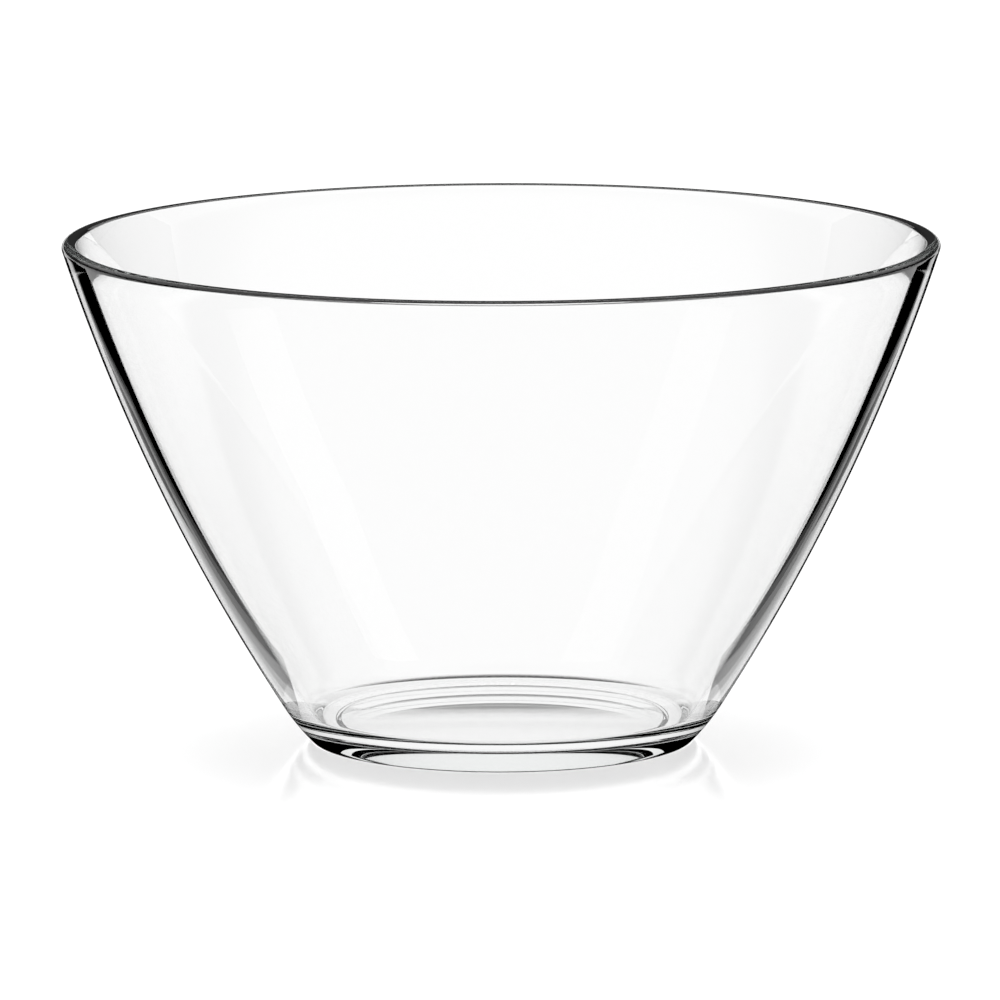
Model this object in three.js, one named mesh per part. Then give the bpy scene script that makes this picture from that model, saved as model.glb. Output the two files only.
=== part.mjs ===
// A pressed-glass salad bowl: one wall that flares from a small foot to a wide, fire-polished rim.
// Millimetres, +Z up. The origin is the centre of the foot ring, on the plane that the bowl stands on.
import * as THREE from 'three';

// Driving dimensions, in millimetres and degrees
const rimDiameter = 230;      // across the outermost edge of the rim
const bowlHeight = 132.5;     // from the table to the top of the rim
const rimLean = 17.9;         // how far the wall leans out at the rim, from upright
const wallRadius = 528;       // the long, gentle crown of the wall, as a circle in section
const wallAtRim = 4.05;       // glass across the wall, just under the rim
const wallAtHeel = 5.1;       // glass across the wall, where it meets the heel
const rimEdgeRadius = 1.2;    // fire-polished edges on both sides of the flat rim
const heelHeight = 10;        // where the wall starts to turn in towards the foot
const heelRadius = 55;        // the turn of the heel, in section
const footEdgeRadius = 2;     // outer edge of the foot
const footRingWidth = 4.5;    // flat ring that touches the table
const recessDepth = 1.6;      // hollow under the base, inside the foot ring
const recessEdgeRadius = 0.5; // both bends of the step up into that hollow
const recessSlope = 50;       // the step's rise, from level
const floorThickness = 7.4;   // from the table to the inside of the base
const floorCornerRadius = 9;  // where the inside of the wall runs into the floor

// How finely the curves are drawn
const chordTolerance = 0.03;
const segmentsAround = 80;

const glassColour = 0xf4f8f7;
const glassRoughness = 0.03;
const glassOpacity = 0.35;

// Directions are angles from level, in the plane of the section: x is the radius, y the height.
const rightAngle = Math.PI / 2;
const pointAt = (centre, radius, angle) => new THREE.Vector2(
  centre.x + radius * Math.cos(angle),
  centre.y + radius * Math.sin(angle),
);

// An arc's points, both ends included, with as many steps as its radius needs.
function arc({ centre, radius, from, to }) {
  const step = 2 * Math.acos(1 - chordTolerance / Math.max(radius, 2 * chordTolerance));
  const count = Math.max(2, Math.ceil(Math.abs(to - from) / step));
  const points = [];
  for (let i = 0; i <= count; i += 1) {
    points.push(pointAt(centre, radius, from + (to - from) * (i / count)));
  }
  return points;
}

// The centre of a circle through two points, on the side towards the axis.
function centreThrough(low, high, radius) {
  const chord = high.clone().sub(low);
  const rise = Math.sqrt(radius * radius - chord.lengthSq() / 4);
  const inwards = new THREE.Vector2(-chord.y, chord.x).normalize();
  return low.clone().add(high).multiplyScalar(0.5).addScaledVector(inwards, rise);
}

// The centre of a small round, at a given height, that touches a large circle from inside.
function roundInside(large, radius, height) {
  const drop = height - large.centre.y;
  const reach = large.radius - radius;
  return new THREE.Vector2(large.centre.x + Math.sqrt(reach * reach - drop * drop), height);
}

const angleFrom = (centre, point) => Math.atan2(point.y - centre.y, point.x - centre.x);

// Outside: rim edge, wall, heel and foot edge, each running smoothly into the next
const wallTopAngle = -THREE.MathUtils.degToRad(rimLean);
const rimOuter = {
  centre: new THREE.Vector2(rimDiameter / 2 - rimEdgeRadius, bowlHeight - rimEdgeRadius),
  radius: rimEdgeRadius,
  from: wallTopAngle,
  to: rightAngle,
};
const wallOuter = {
  centre: pointAt(rimOuter.centre, rimEdgeRadius - wallRadius, wallTopAngle),
  radius: wallRadius,
  to: wallTopAngle,
};
wallOuter.from = -Math.asin((wallOuter.centre.y - heelHeight) / wallRadius);
const heel = {
  centre: pointAt(wallOuter.centre, wallRadius - heelRadius, wallOuter.from),
  radius: heelRadius,
  to: wallOuter.from,
};
const footEdge = {
  centre: roundInside(heel, footEdgeRadius, footEdgeRadius),
  radius: footEdgeRadius,
  from: -rightAngle,
};
heel.from = angleFrom(heel.centre, footEdge.centre);
footEdge.to = heel.from;

// Inside: the wall keeps its glass from rim to heel, and a round takes it into the level floor
const wallInner = { radius: wallRadius - wallAtRim };
wallInner.centre = centreThrough(
  pointAt(wallOuter.centre, wallRadius - wallAtHeel, wallOuter.from),
  pointAt(wallOuter.centre, wallRadius - wallAtRim, wallOuter.to),
  wallInner.radius,
);
const rimInnerHeight = bowlHeight - rimEdgeRadius;
const rimInnerReach = wallInner.radius + rimEdgeRadius;
const rimInner = {
  centre: new THREE.Vector2(
    wallInner.centre.x + Math.sqrt(rimInnerReach ** 2 - (rimInnerHeight - wallInner.centre.y) ** 2),
    rimInnerHeight,
  ),
  radius: rimEdgeRadius,
  from: rightAngle,
};
wallInner.from = angleFrom(wallInner.centre, rimInner.centre);
rimInner.to = wallInner.from + Math.PI;
const floorCorner = {
  centre: roundInside(wallInner, floorCornerRadius, floorThickness + floorCornerRadius),
  radius: floorCornerRadius,
  to: -rightAngle,
};
wallInner.to = angleFrom(wallInner.centre, floorCorner.centre);
floorCorner.from = wallInner.to;

// Underneath: a flat ring to stand on, and a shallow hollow inside it
const recessRise = THREE.MathUtils.degToRad(recessSlope);
const ringInnerRadius = footEdge.centre.x - footRingWidth;
const bendRise = recessEdgeRadius * (1 - Math.cos(recessRise));
const bendRun = recessEdgeRadius * Math.sin(recessRise);
const slopeRun = (recessDepth - 2 * bendRise) / Math.tan(recessRise);
const recessFoot = {
  centre: new THREE.Vector2(ringInnerRadius, recessEdgeRadius),
  radius: recessEdgeRadius,
  from: -rightAngle - recessRise,
  to: -rightAngle,
};
const recessTop = {
  centre: new THREE.Vector2(ringInnerRadius - 2 * bendRun - slopeRun, recessDepth - recessEdgeRadius),
  radius: recessEdgeRadius,
  from: rightAngle,
  to: rightAngle - recessRise,
};

// The section, from the middle of the underside round to the middle of the floor
const section = [
  new THREE.Vector2(0, recessDepth),
  ...arc(recessTop),
  ...arc(recessFoot),
  ...arc(footEdge),
  ...arc(heel).slice(1),
  ...arc(wallOuter).slice(1),
  ...arc(rimOuter).slice(1),
  ...arc(rimInner),
  ...arc(wallInner).slice(1),
  ...arc(floorCorner).slice(1),
  new THREE.Vector2(0, floorThickness),
];

const bowlGeometry = new THREE.LatheGeometry(section, segmentsAround);
bowlGeometry.rotateX(rightAngle);

const glass = new THREE.MeshStandardMaterial({
  color: glassColour,
  roughness: glassRoughness,
  metalness: 0,
  transparent: true,
  opacity: glassOpacity,
});

const bowl = new THREE.Mesh(bowlGeometry, glass);
bowl.name = 'bowl';

const saladBowl = new THREE.Group();
saladBowl.add(bowl);

export default saladBowl;
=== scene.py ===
# %% [markdown]
# # A clear glass salad bowl
# The bowl is one piece of pressed soda-lime glass: a gob of hot glass was squeezed between a mould
# and a plunger, and a flame then melted the rim smooth. This lesson loads its solid as a fixed frame,
# turns a finer bowl in the same place, gives it real glass, and stands it in a white studio with black
# cards beside it, which is how clear glass is photographed.

# %% Load the frame
import math

import bpy
from mathutils import Matrix, Vector


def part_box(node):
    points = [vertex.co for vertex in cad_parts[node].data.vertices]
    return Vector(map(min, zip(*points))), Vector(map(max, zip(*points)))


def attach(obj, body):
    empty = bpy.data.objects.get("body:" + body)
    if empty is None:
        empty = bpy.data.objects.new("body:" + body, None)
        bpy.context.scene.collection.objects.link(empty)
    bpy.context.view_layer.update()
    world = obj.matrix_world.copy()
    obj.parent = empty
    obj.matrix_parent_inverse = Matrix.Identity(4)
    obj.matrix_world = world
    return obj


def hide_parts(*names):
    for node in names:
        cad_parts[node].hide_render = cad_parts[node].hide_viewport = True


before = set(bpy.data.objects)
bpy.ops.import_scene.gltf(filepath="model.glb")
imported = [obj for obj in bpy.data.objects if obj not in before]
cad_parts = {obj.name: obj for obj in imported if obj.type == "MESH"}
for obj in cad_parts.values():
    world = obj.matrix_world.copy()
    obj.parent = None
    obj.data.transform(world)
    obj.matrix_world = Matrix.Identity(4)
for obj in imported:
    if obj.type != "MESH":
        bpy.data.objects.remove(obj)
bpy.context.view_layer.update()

MM = 0.001
low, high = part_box("bowl")
print(f"the solid is {(high.x - low.x) / MM:.1f} mm across and {high.z / MM:.1f} mm high")

# %% [markdown]
# ## The section of the wall
# Clear glass shows nothing but its edges and its curves, so the section matters to a tenth of a
# millimetre: the wall's thickness alone sets how wide the dark band at each side is. The overall sizes
# come from the frame. The others are the bowl's own sizes, the same that its solid was drawn with.

# %% Sizes of the section
rim_radius = high.x
bowl_height = high.z
rim_lean = math.radians(17.9)   # how far the wall leans out at the rim, from upright
wall_radius = 528 * MM          # the long, gentle crown of the wall
wall_at_rim = 4.05 * MM         # glass across the wall, under the rim and at the heel
wall_at_heel = 5.1 * MM
rim_edge = 1.2 * MM             # fire-polished edges on both sides of the flat rim
heel_height = 10 * MM           # where the wall starts to turn in towards the foot
heel_radius = 55 * MM
foot_edge = 2 * MM              # the outer edge of the foot
foot_ring = 4.5 * MM            # the flat ring that touches the table
step_height = 1.6 * MM          # a shallow hollow inside that ring
step_edge = 0.5 * MM            # both bends of the step up into the hollow
step_slope = math.radians(50)   # the rise of that step
floor_level = 7.4 * MM          # the inside of the base, above the table
floor_corner = 9 * MM           # where the inside of the wall runs into the floor
QUARTER = math.pi / 2


def on_circle(centre, radius, angle):
    return centre + radius * Vector((math.cos(angle), math.sin(angle)))


def angle_from(centre, point):
    return math.atan2(point.y - centre.y, point.x - centre.x)


def round_inside(centre, radius, small, level):
    """The centre of a small round, at a given level, that touches a large circle from inside."""
    reach = radius - small
    return Vector((centre.x + math.sqrt(reach ** 2 - (level - centre.y) ** 2), level))


print(f"the wall is {wall_at_rim / MM:.2f} mm thick at the rim and {wall_at_heel / MM:.2f} mm at the heel")

# %% [markdown]
# Each stretch of the section is an arc that runs smoothly into the next, so two neighbouring centres
# always lie in line with the point where their arcs meet. A point is a radius and a height. The outside
# is worked out from the rim down: the rim's edge, the crown of the wall, the heel and the foot's edge.

# %% Centres of the outside arcs
rim_out = Vector((rim_radius - rim_edge, bowl_height - rim_edge))
wall_out = on_circle(rim_out, rim_edge - wall_radius, -rim_lean)
heel_top = -math.asin((wall_out.y - heel_height) / wall_radius)
heel = on_circle(wall_out, wall_radius - heel_radius, heel_top)
foot = round_inside(heel, heel_radius, foot_edge, foot_edge)
heel_foot = angle_from(heel, foot)
print(f"the foot ring is flat out to {foot.x / MM:.1f} mm from the axis")

# %% [markdown]
# The plunger shapes the inside. It could be the outside moved in by one thickness, but the glass is
# thicker at the heel than at the rim, so the inside is an arc of its own through two points, one at each
# end. A round then takes it into the level floor.

# %% Centres of the inside arcs
inner_radius = wall_radius - wall_at_rim
inner_low = on_circle(wall_out, wall_radius - wall_at_heel, heel_top)
inner_high = on_circle(wall_out, wall_radius - wall_at_rim, -rim_lean)
chord = inner_high - inner_low
inwards = Vector((-chord.y, chord.x)).normalized()
wall_in = (inner_low + inner_high) / 2 + inwards * math.sqrt(inner_radius ** 2 - chord.length_squared / 4)
rim_reach = inner_radius + rim_edge
rim_in = Vector((wall_in.x + math.sqrt(rim_reach ** 2 - (rim_out.y - wall_in.y) ** 2), rim_out.y))
inner_top = angle_from(wall_in, rim_in)
corner = round_inside(wall_in, inner_radius, floor_corner, floor_level + floor_corner)
inner_foot = angle_from(wall_in, corner)
print(f"the level floor inside is {2 * corner.x / MM:.1f} mm across")

# %% [markdown]
# Pressed bowls stand on a narrow ring, because a whole flat base would rock. Inside the ring the glass
# steps up by two small bends and a slope.

# %% Centres of the arcs underneath
step_foot = Vector((foot.x - foot_ring, step_edge))
bend_rise = step_edge * (1 - math.cos(step_slope))
bend_run = step_edge * math.sin(step_slope)
slope_rise = step_height - 2 * bend_rise
slope_run = slope_rise / math.tan(step_slope)
step_top = Vector((step_foot.x - 2 * bend_run - slope_run, step_height - step_edge))
print(f"the hollow underneath is {2 * step_top.x / MM:.1f} mm across")

# %% [markdown]
# ## Drawing the section and spinning it
# A bowl could be made from a cylinder by insets and scaling, but then its curves are only as good as the
# hand. Here it is turned as on a lathe. A small plane is merged to one vertex, and that vertex is drawn
# along the section: a straight extrude makes a flat, and a small spin makes an arc. The finished line is
# spun once round the upright axis. Doubles on the axis and at the seam are then merged, and the faces
# are turned to point out.

# %% Tools for drawing
CHORD = 0.004 * MM   # how far a chord of an arc may stray from it
TURNS = 360          # steps once round the bowl
SEAM = 0.0005 * MM   # vertices closer than this are one


def arc(centre, radius, start, end):
    """Carries the section's last vertex round a centre, from one angle to another."""
    step = 2 * math.acos(1 - CHORD / radius)
    steps = max(2, math.ceil(abs(end - start) / step))
    bpy.ops.mesh.spin(steps=steps, angle=end - start, center=(centre.x, 0, centre.y), axis=(0, 1, 0))


def straight(run, rise):
    """Draws on from the section's last vertex in a straight line: so far outwards, and so far up."""
    bpy.ops.mesh.extrude_region_move(TRANSFORM_OT_translate={"value": (run, 0, rise)})


# %% Draw the section
bpy.ops.object.select_all(action="DESELECT")
bpy.ops.mesh.primitive_plane_add(size=MM)
bowl = bpy.context.object
bowl.name = "glass_bowl"
bpy.ops.object.mode_set(mode="EDIT")
bpy.ops.mesh.select_mode(type="VERT")
bpy.ops.mesh.merge(type="CENTER")
bpy.ops.transform.translate(value=(0, 0, step_height))
straight(step_top.x, 0)
arc(step_top, step_edge, QUARTER, QUARTER - step_slope)
straight(slope_run, -slope_rise)
arc(step_foot, step_edge, -QUARTER - step_slope, -QUARTER)
straight(foot.x - step_foot.x, 0)
arc(foot, foot_edge, -QUARTER, heel_foot)
arc(heel, heel_radius, heel_foot, heel_top)
arc(wall_out, wall_radius, heel_top, -rim_lean)
arc(rim_out, rim_edge, -rim_lean, QUARTER)
straight(rim_in.x - rim_out.x, 0)
arc(rim_in, rim_edge, QUARTER, inner_top + math.pi)
arc(wall_in, inner_radius, inner_top, inner_foot)
arc(corner, floor_corner, inner_foot, -QUARTER)
straight(-corner.x, 0)

# %% Spin the section into the bowl
bpy.ops.mesh.select_all(action="SELECT")
bpy.ops.mesh.spin(steps=TURNS, angle=2 * math.pi, center=(0, 0, 0), axis=(0, 0, 1))
bpy.ops.mesh.select_all(action="SELECT")
bpy.ops.mesh.remove_doubles(threshold=SEAM)
bpy.ops.mesh.normals_make_consistent(inside=False)
bpy.ops.object.mode_set(mode="OBJECT")
bpy.ops.object.shade_smooth()
triangles = sum(len(face.vertices) - 2 for face in bowl.data.polygons)
print(f"the bowl has {triangles} triangles and is {bowl.dimensions.x / MM:.2f} mm across")

# %% [markdown]
# ## Glass
# The material is soda-lime glass, pressed and fire-polished. To the eye it is colourless, as smooth as
# water, and it bends light by an index of 1.52. Two things keep it from looking like a perfect model:
# the skin ripples by some microns, because it set against a mould and was then softened by a flame,
# and a trace of iron tints long paths through the glass green. The Principled shader gives the surface,
# a bump from soft noise gives the ripple, and absorption in the volume gives the tint.

# %% Tools for materials
def linear(hex_colour):
    """An sRGB hex colour as linear red, green, blue and alpha."""
    channels = [int(hex_colour[i:i + 2], 16) / 255 for i in (1, 3, 5)]
    return (*[c / 12.92 if c <= 0.04045 else ((c + 0.055) / 1.055) ** 2.4 for c in channels], 1)


def node(tree, kind, inputs=None, **settings):
    """Adds a node. An input is a value, or the output of another node to link from."""
    new = tree.nodes.new(kind)
    for name, value in settings.items():
        setattr(new, name, value)
    for socket, value in (inputs or {}).items():
        if isinstance(value, bpy.types.NodeSocket):
            tree.links.new(value, new.inputs[socket])
        else:
            new.inputs[socket].default_value = value
    return new


def sum_of(tree, operation, first, second):
    """One step of arithmetic on two inputs, as an output to link from."""
    return node(tree, "ShaderNodeMath", {0: first, 1: second}, operation=operation).outputs[0]


def new_material(name):
    material = bpy.data.materials.new(name)
    material.use_nodes = True
    material.node_tree.nodes.clear()
    return material


# %% Soda-lime glass, pressed and fire-polished
WHITE = "#FFFFFF"
GLASS_INDEX = 1.52
RIPPLE_LENGTH = 35 * MM
RIPPLE_HEIGHT = 0.003 * MM
RIPPLE_DETAIL = 1.0
TINT = "#DDF2EA"
TINT_DENSITY = 0.8  # per metre

glass = new_material("soda-lime glass, fire-polished")
tree = glass.node_tree
place = node(tree, "ShaderNodeTexCoord")
ripple = node(tree, "ShaderNodeTexNoise", {
    "Vector": place.outputs["Object"],
    "Scale": 1 / RIPPLE_LENGTH,
    "Detail": RIPPLE_DETAIL,
})
skin = node(tree, "ShaderNodeBump", {
    "Height": ripple.outputs["Fac"],
    "Strength": 1.0,
    "Distance": RIPPLE_HEIGHT,
})
surface = node(tree, "ShaderNodeBsdfPrincipled", {
    "Base Color": linear(WHITE),
    "Roughness": 0.0,
    "IOR": GLASS_INDEX,
    "Transmission Weight": 1.0,
    "Normal": skin.outputs["Normal"],
})
body = node(tree, "ShaderNodeVolumeAbsorption", {"Color": linear(TINT), "Density": TINT_DENSITY})
node(tree, "ShaderNodeOutputMaterial", {"Surface": surface.outputs["BSDF"], "Volume": body.outputs["Volume"]})
bowl.data.materials.append(glass)

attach(bowl, "root")
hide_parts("bowl")
print("glass:", glass.name)

# %% [markdown]
# ## The floor
# The bowl stands on white acrylic sheet. It is lit so that it clips to white, keeps a faint shadow, and
# near the foot it mirrors the base. Its shine stops a short way out, so that it mirrors the bowl and not
# the dark end of the studio. Light that comes by way of the glass sees it as plain white, or as black
# where the glass has turned that light back many times. A real sheet can't sort light so: it is done
# here to keep the base clear and still give it dark lines.

# %% White acrylic sheet
FLOOR_RADIUS = 60.0
FLOOR_STEPS = 128
SHEET = 0.35           # diffuse white of the sheet
SHEET_ROUGHNESS = 0.14
GLOW_FAR = 0.80        # light from the lit sheet itself, away from the foot and beside it
GLOW_NEAR = 0.60
SHINE = 0.5
SHINE_FULL = 62 * MM   # the sheet mirrors fully out to here, and fades out by there
SHINE_END = 130 * MM
DEEP_WHITE = 72 * MM   # light turned back two to five times sees white only this near the axis
UP_TO_ONCE = 1.5       # limits that lie between two whole depths
UP_TO_FIVE = 5.5

bpy.ops.object.select_all(action="DESELECT")
bpy.ops.mesh.primitive_circle_add(vertices=FLOOR_STEPS, radius=FLOOR_RADIUS, fill_type="NGON")
floor = bpy.context.object
floor.name = "floor"
sheet = new_material("white acrylic sheet, polished")
tree = sheet.node_tree
path = node(tree, "ShaderNodeLightPath")
place = node(tree, "ShaderNodeTexCoord")
from_axis = node(tree, "ShaderNodeVectorMath", {0: place.outputs["Object"]}, operation="LENGTH")


def fade(near, far):
    """A value that goes from one level to another where the sheet's shine fades out."""
    return node(tree, "ShaderNodeMapRange", {
        "Value": from_axis.outputs["Value"],
        "From Min": SHINE_FULL,
        "From Max": SHINE_END,
        "To Min": near,
        "To Max": far,
    }, interpolation_type="SMOOTHSTEP").outputs["Result"]


lit_sheet = node(tree, "ShaderNodeBsdfPrincipled", {
    "Base Color": (SHEET, SHEET, SHEET, 1),
    "Roughness": SHEET_ROUGHNESS,
    "Specular IOR Level": fade(SHINE, 0.0),
})
lit_glow = node(tree, "ShaderNodeEmission", {"Strength": fade(GLOW_NEAR, GLOW_FAR)})
direct = node(tree, "ShaderNodeAddShader", {0: lit_sheet.outputs["BSDF"], 1: lit_glow.outputs["Emission"]})
print(f"floor: {sheet.name}, shiny out to {SHINE_END / MM:.0f} mm")

# %% What the glass sees of the sheet
once = sum_of(tree, "LESS_THAN", path.outputs["Glossy Depth"], UP_TO_ONCE)
near = sum_of(tree, "LESS_THAN", from_axis.outputs["Value"], DEEP_WHITE)
few = sum_of(tree, "LESS_THAN", path.outputs["Glossy Depth"], UP_TO_FIVE)
beneath = sum_of(tree, "MULTIPLY", near, few)
white = sum_of(tree, "MAXIMUM", once, beneath)
through = node(tree, "ShaderNodeEmission", {"Strength": white})
indirect = sum_of(tree, "MAXIMUM", path.outputs["Is Glossy Ray"], path.outputs["Is Transmission Ray"])
seen = node(tree, "ShaderNodeMixShader", {
    0: indirect,
    1: direct.outputs["Shader"],
    2: through.outputs["Emission"],
})
node(tree, "ShaderNodeOutputMaterial", {"Surface": seen.outputs["Shader"]})
floor.data.materials.append(sheet)
print(f"deep in the glass, the sheet is white out to {DEEP_WHITE / MM:.0f} mm")

# %% [markdown]
# ## Black cards
# On a white floor, clear glass has no edges until something dark stands beside it. Photographers lay
# black cards on the table, just out of the frame, and the glass draws them as thin dark lines: at grazing
# angles the wall mirrors a card on its outside, and a little further in the light turns back inside the
# wall and shows a card as the broad dark band. These cards go further than real ones. Each is black only
# to light that was mirrored and bent a given number of times and that falls at a given slant, and it is
# clear to the camera, to shadows and to all other light. So each card draws its own line, and the floor
# stays white.

# %% Tools for the cards
AWAY = [0, 35, 110, 220, 400, 3000]   # millimetres behind the bowl at which a card's edges are given
LIFT = 0.1 * MM                       # between one layer of cards and the next
RING_STEPS = 128


def line(start, slope):
    """A straight edge: how far beside the axis it lies at each distance behind the bowl."""
    return [start + slope * away for away in AWAY]


def beside(edge, shift, limit):
    """An edge moved sideways, but not past another."""
    return [min(aside + shift, most) for aside, most in zip(edge, limit)]


def stage_card(name, layer, corners, faces, blacks):
    """Makes a card that only the glass sees. Each face has its own share of the card's painted tone, dark or
    highlight.
    """
    mesh = bpy.data.meshes.new(name)
    mesh.from_pydata([corner + Vector((0, 0, layer * LIFT)) for corner in corners], [], faces)
    # the 'black' share is also the share of white on the painted highlight strips
    tone = mesh.attributes.new("black", "FLOAT", "FACE")
    tone.data.foreach_set("value", blacks)
    card = bpy.data.objects.new(name, mesh)
    bpy.context.scene.collection.objects.link(card)
    card.visible_camera = False
    card.visible_diffuse = False
    card.visible_shadow = False
    print(f"card: {name}, {len(faces)} faces")
    return card


def cards(name, layer, strips):
    """Lays strips of card on both sides. A strip is two edges and how black it is."""
    corners = []
    faces = []
    blacks = []
    count = len(AWAY)
    for near, far, black in strips:
        for hand in (-1, 1):
            first = len(corners)
            for edge in (near, far):
                corners += [Vector((hand * aside, away, 0)) * MM for aside, away in zip(edge, AWAY)]
            for i in range(first, first + count - 1):
                around = [i, i + count, i + count + 1, i + 1]
                faces.append(around[::hand])
                blacks.append(black)
    return stage_card(name, layer, corners, faces, blacks)


def ring_card(name, layer, edges, black=1.0, steps=RING_STEPS):
    """Puts a ring of card round the bowl. An edge is a radius and a height."""
    turns = [2 * math.pi * i / steps for i in range(steps)]
    corners = []
    for radius, height in edges:
        corners += [Vector((radius * math.cos(turn), radius * math.sin(turn), height)) for turn in turns]
    faces = []
    for i in range(steps):
        after = (i + 1) % steps
        faces.append([i, steps + i, steps + after, after])
    return stage_card(name, layer, corners, faces, [black] * steps)


# %% [markdown]
# Each card's shader paints it into the glass as a painted reflection: black, or as light as given, to the
# light it is meant for only.
# A slant is the cosine of the light's angle from upright: the card is black at the first cosine and clear at
# the second, and fades in between.

# %% Tools for painting the cards into the glass
MANY = 99
FLAT = (0.5, 0.6)
STEEP = (0.6, 0.5)
STEEP_BEHIND = (0.5, 0.46)
STEEP_IN_FRONT = (0.56, 0.48)
ALL_SLANTS = (1.5, 2.0)


def by_way_of(mirrored, bent):
    """Light that was mirrored and bent so often, at least and at most, and not scattered."""
    return {"Glossy Depth": mirrored, "Transmission Depth": bent, "Diffuse Depth": (0, 0)}


def paint_card_into_glass(card, depths, slants, light=0.0):
    """Paints a card into the glass: black, or as light as given, to light of these depths and slants only."""
    material = new_material(card.name)
    tree = material.node_tree
    path = node(tree, "ShaderNodeLightPath")
    side = node(tree, "ShaderNodeNewGeometry")
    tone = node(tree, "ShaderNodeAttribute", attribute_name="black")
    slant = node(tree, "ShaderNodeLayerWeight", {"Blend": 0.5})
    black, clear = slants
    shown = node(tree, "ShaderNodeMapRange", {
        "Value": slant.outputs["Facing"],
        "From Min": 1 - clear,
        "From Max": 1 - black,
    })
    front = sum_of(tree, "SUBTRACT", 1.0, side.outputs["Backfacing"])
    factors = [tone.outputs["Fac"], front]
    for depth, (least, most) in depths.items():
        factors.append(sum_of(tree, "GREATER_THAN", path.outputs[depth], least - 0.5))
        factors.append(sum_of(tree, "LESS_THAN", path.outputs[depth], most + 0.5))
    amount = shown.outputs[0]
    for factor in factors:
        amount = sum_of(tree, "MULTIPLY", amount, factor)
    clear_film = node(tree, "ShaderNodeBsdfTransparent")
    # the painted tone: black for a painted dark reflection, white for the painted highlight strips
    painted_tone = node(tree, "ShaderNodeEmission", {"Strength": light})
    both = node(tree, "ShaderNodeMixShader", {0: amount, 1: clear_film.outputs[0], 2: painted_tone.outputs[0]})
    node(tree, "ShaderNodeOutputMaterial", {"Surface": both.outputs[0]})
    card.data.materials.append(material)


mirrored_light = by_way_of((1, MANY), (0, 0))
mirrored_once = by_way_of((1, 1), (0, 0))
bent_light = by_way_of((1, MANY), (1, 2))
through_one_wall = by_way_of((0, 0), (1, 2))
through_two_walls = by_way_of((0, 0), (3, 4))
print("light is sorted by:", ", ".join(mirrored_light))

# %% [markdown]
# The broad band at each side of the wall grows from grey to black. Strips of rising black, edge to edge,
# give it that soft side. The edges were found by following the light of such a band back to the table.

# %% Lay the cards beside the bowl
band_start = [95, 114, 155, 218, 262, 1458]
band_end = [97, 130, 198, 276, 395, 2111]
band_outside = [85, 104, 145, 178, 252, 1448]
before_band = beside(band_start, -10, band_end)
soft_side = beside(band_start, 8, band_end)
full_side = beside(band_start, 16, band_end)
mirrored = cards("cards_for_mirrored_light", 1, [
    (line(40, 0.1), line(62, 0.339), 1.0),
    (band_outside, before_band, 0.75),
    (before_band, band_start, 0.3),
    (band_start, soft_side, 0.6),
    (soft_side, full_side, 0.85),
    (full_side, band_end, 1.0),
])
paint_card_into_glass(mirrored, mirrored_light, FLAT)

BENT_SLOPE = 0.375
bent = cards("cards_for_bent_light", 2, [
    (line(58, BENT_SLOPE), line(64, BENT_SLOPE), 0.3),
    (line(64, BENT_SLOPE), line(70, BENT_SLOPE), 0.65),
    (line(70, BENT_SLOPE), line(78, BENT_SLOPE), 0.86),
    (line(78, BENT_SLOPE), line(84, 0.7), 1.0),
])
paint_card_into_glass(bent, bent_light, FLAT)

# %% [markdown]
# Three rings of card lie round the bowl. One is mirrored by the heel and darkens the sides of the base.
# The other two are seen through the rim, and turn its far and its near edge into dark lines.

# %% Lay the cards for the heel and the rim
under_heel = [(48 * MM, 0), (68 * MM, 0)]
behind_rim = [(125 * MM, 0), (380 * MM, 0)]
inside_rim = [(56 * MM, 0), (150 * MM, 0)]
paint_card_into_glass(ring_card("card_under_the_heel", 3, under_heel), mirrored_light, ALL_SLANTS)
paint_card_into_glass(ring_card("card_for_the_back_rim", 4, behind_rim), through_one_wall, STEEP_BEHIND)
paint_card_into_glass(ring_card("card_for_the_front_rim", 5, inside_rim), through_two_walls, STEEP_IN_FRONT)

# %% [markdown]
# The outside of the wall leans over the table, so it mirrors the table in front of the bowl. A pale grey
# sheet there, seen only in that mirror, is a painted reflection that gives the wall its tone, and glowing
# white strips on it are painted highlights: the faint streaks of light that run down the wall. Their corners
# were found as the edges of the cards were.

# %% Lay the grey sheet and the white strips
GREY = 0.4
grey_ring = [(30 * MM, 0), (420 * MM, 0)]
# painted reflection: this grey sheet is seen only where the wall mirrors the table, and darkens the wall
paint_card_into_glass(ring_card("grey_sheet_painted_reflection", 6, grey_ring, black=GREY), mirrored_once, STEEP)

STREAKS = [
    [(-227, -156), (-95, -114), (-35, -77), (-54, -66), (-122, -88), (-253, -96)],
    [(225, -150), (104, -106), (46, -71), (25, -81), (75, -126), (193, -199)],
]
STREAK_TONES = [1.0, 0.7]
corners = []
faces = []
for streak in STREAKS:
    faces.append(list(range(len(corners), len(corners) + len(streak))))
    corners += [Vector((x, y, 0)) * MM for x, y in streak]
# painted highlights: the strips glow white and are seen only where the wall mirrors the table
highlight_streaks = stage_card("white_strips_painted_highlights", 7, corners, faces, STREAK_TONES)
paint_card_into_glass(highlight_streaks, mirrored_once, STEEP, light=1.0)

# %% [markdown]
# ## The studio round the bowl
# The room is white, so the backdrop shows white through the base. A low dark band goes round it, which
# only mirrored light sees: it darkens the line of the polished rim.

# %% Dark band of the studio
BAND_RADIUS = 1.0
BAND_LOW = 0.19
BAND_HIGH = 0.42
BAND_BLACK = 0.95
BAND_STEPS = 180
band_edges = [(BAND_RADIUS, BAND_LOW), (BAND_RADIUS, BAND_HIGH)]
paint_card_into_glass(ring_card("studio_band", 0, band_edges, BAND_BLACK, BAND_STEPS), mirrored_light, ALL_SLANTS)

# %% [markdown]
# The light comes from all round, as in a tent of white cloth. A lamp would leave a hard spot on the
# glass, so the world itself is the light. The camera and the floor see it white. The glass sees it a
# little darker in a belt above the horizon and overhead, which gives the curves their soft greys.

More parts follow.
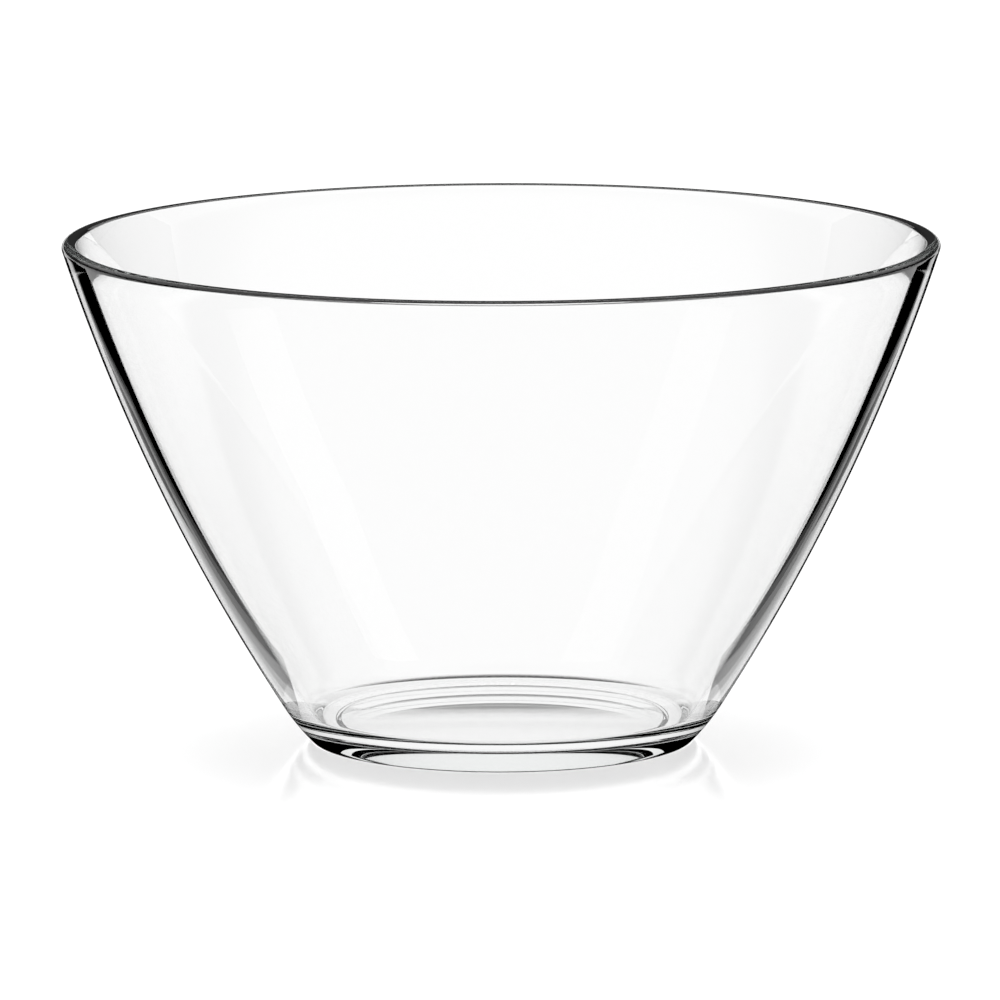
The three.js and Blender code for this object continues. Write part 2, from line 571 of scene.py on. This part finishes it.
# %% World
SKY = [(0, 1.0), (14, 1.0), (17, 0.5), (24, 0.9), (30, 1.0), (60, 1.0), (75, 0.8), (90, 0.6)]  # degrees up
BLACK_ABOVE = math.radians(15)   # for light that was turned back more than once
UNSCATTERED = 0.5
world = bpy.data.worlds.new("studio")
bpy.context.scene.world = world
world.use_nodes = True
tree = world.node_tree
tree.nodes.clear()
path = node(tree, "ShaderNodeLightPath")
place = node(tree, "ShaderNodeTexCoord")
height = node(tree, "ShaderNodeSeparateXYZ", {0: place.outputs["Generated"]})
elevation = node(tree, "ShaderNodeMath", {0: height.outputs["Z"]}, operation="ARCSINE").outputs[0]
curve = node(tree, "ShaderNodeFloatCurve", {"Value": sum_of(tree, "DIVIDE", elevation, QUARTER)})
points = curve.mapping.curves[0].points
while len(points) < len(SKY):
    points.new(0.5, 0.5)
for point, (angle, value) in zip(points, SKY):
    point.location = (angle / 90, value)
    point.handle_type = "AUTO_CLAMPED"
curve.mapping.update()
print(f"world: {len(points)} steps of light from the horizon to overhead")

# %% What the glass sees of the world
by_glass = sum_of(tree, "MAXIMUM", path.outputs["Is Glossy Ray"], path.outputs["Is Transmission Ray"])
no_floor = sum_of(tree, "LESS_THAN", path.outputs["Diffuse Depth"], UNSCATTERED)
studio = sum_of(tree, "MULTIPLY", by_glass, no_floor)
low_sky = sum_of(tree, "LESS_THAN", elevation, BLACK_ABOVE)
once = sum_of(tree, "LESS_THAN", path.outputs["Glossy Depth"], UP_TO_ONCE)
open_sky = sum_of(tree, "MAXIMUM", low_sky, once)
studio_light = sum_of(tree, "MULTIPLY", curve.outputs[0], open_sky)
strength = node(tree, "ShaderNodeMix", {"Factor": studio, "A": 1.0, "B": studio_light}, data_type="FLOAT")
light = node(tree, "ShaderNodeBackground", {"Color": linear(WHITE), "Strength": strength.outputs[0]})
node(tree, "ShaderNodeOutputWorld", {"Surface": light.outputs[0]})
print(f"deep in the glass, the sky is black above {math.degrees(BLACK_ABOVE):.0f} degrees")

# %% [markdown]
# ## The camera
# A long lens, far back and a little above the rim, as for a catalogue. A near camera would spread the rim
# and hide the foot.

# %% Set up the camera
CAMERA_RISE = math.radians(9.35)
CAMERA_ROLL = math.radians(-0.1445)
CAMERA_DISTANCE = 2.6
AIM_HEIGHT = 63.48 * MM
AIM_ASIDE = -0.458 * MM
FRAME_PIXELS = 1000
FOCAL_PIXELS = 9887
SENSOR = 36
VIEW_END = 100

ahead = Vector((0, math.cos(CAMERA_RISE), -math.sin(CAMERA_RISE)))
level = Vector((1, 0, 0))
upright = level.cross(ahead)
right = level * math.cos(CAMERA_ROLL) + upright * math.sin(CAMERA_ROLL)
up = upright * math.cos(CAMERA_ROLL) - level * math.sin(CAMERA_ROLL)
lens = bpy.data.cameras.new("camera")
lens.sensor_width = SENSOR
lens.lens = SENSOR * FOCAL_PIXELS / FRAME_PIXELS
lens.clip_end = VIEW_END
camera = bpy.data.objects.new("camera", lens)
bpy.context.scene.collection.objects.link(camera)
camera.matrix_world = Matrix((right, up, -ahead)).transposed().to_4x4()
camera.location = Vector((0, 0, AIM_HEIGHT)) - ahead * CAMERA_DISTANCE + right * AIM_ASIDE
scene = bpy.context.scene
scene.camera = camera
scene.view_settings.view_transform = "Standard"
print(f"camera: {lens.lens:.0f} mm lens, {CAMERA_DISTANCE} m away")

# %% [markdown]
# Glass this thick turns light back many times, so paths may bend often before they end. Each card that
# light goes clear through counts as well.

# %% Light paths
GLASS_TURNS = 16
CLEAR_LAYERS = 32
scene.cycles.max_bounces = GLASS_TURNS
scene.cycles.transmission_bounces = GLASS_TURNS
scene.cycles.glossy_bounces = GLASS_TURNS
scene.cycles.diffuse_bounces = 1
scene.cycles.transparent_max_bounces = CLEAR_LAYERS
print(f"light may turn {GLASS_TURNS} times")
